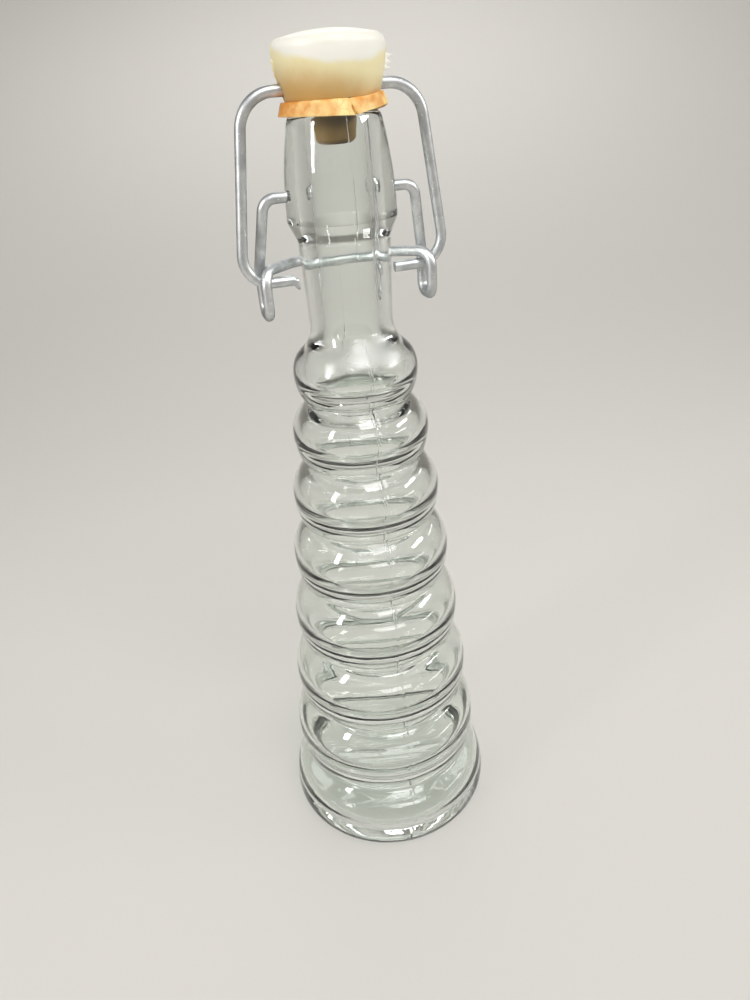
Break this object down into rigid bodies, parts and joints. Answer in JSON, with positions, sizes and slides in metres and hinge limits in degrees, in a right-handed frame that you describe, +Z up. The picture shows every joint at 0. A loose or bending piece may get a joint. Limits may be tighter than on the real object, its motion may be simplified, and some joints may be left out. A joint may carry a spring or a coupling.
{
  "type": "swing top bottle",
  "caption": "Clear glass bottle of stacked rings that narrow to a neck, with a wire bail and lever that press a plastic stopper and a rubber ring on its mouth.",
  "frame": {"origin": "centre of the foot, on the surface that the bottle stands on", "axes": "+Z up along the bottle's axis, X along the closure's pivots, +Y to the side where the lever's bow lies behind the neck"},
  "size_m": [0.07, 0.07, 0.2478],
  "materials": {
    "clear_glass": "clear, moulded, smooth",
    "zinc_wire": "zinc plated, dull, drawn",
    "cream_plastic": "moulded, semi-gloss, yellowed",
    "orange_rubber": "matte, aged"
  },
  "bodies": {
    "bottle": {"glass_bottle": "clear_glass"},
    "lever": {"lever_wire": "zinc_wire"},
    "bail": {"bail_wire": "zinc_wire"},
    "stopper": {"stopper": "cream_plastic", "gasket": "orange_rubber"}
  },
  "joints": [
    {"name": "lever_pivot", "type": "hinge", "parent": "bottle", "child": "lever", "pos_m": [0, 0, 0.212], "axis": [1, 0, 0], "range_deg": [0, 180]},
    {"name": "bail_pivot", "type": "hinge", "parent": "lever", "child": "bail", "pos_m": [0, 0, 0.1913], "axis": [1, 0, 0], "range_deg": [-105, 0]},
    {"name": "stopper_swivel", "type": "hinge", "parent": "bail", "child": "stopper", "pos_m": [0, 0, 0.2357], "axis": [1, 0, 0], "range_deg": [-76, 0]}
  ],
  "couplings": [
    {"joint": "bail_pivot", "follows": "lever_pivot", "ratio": -0.58},
    {"joint": "stopper_swivel", "follows": "lever_pivot", "ratio": -0.42}
  ]
}
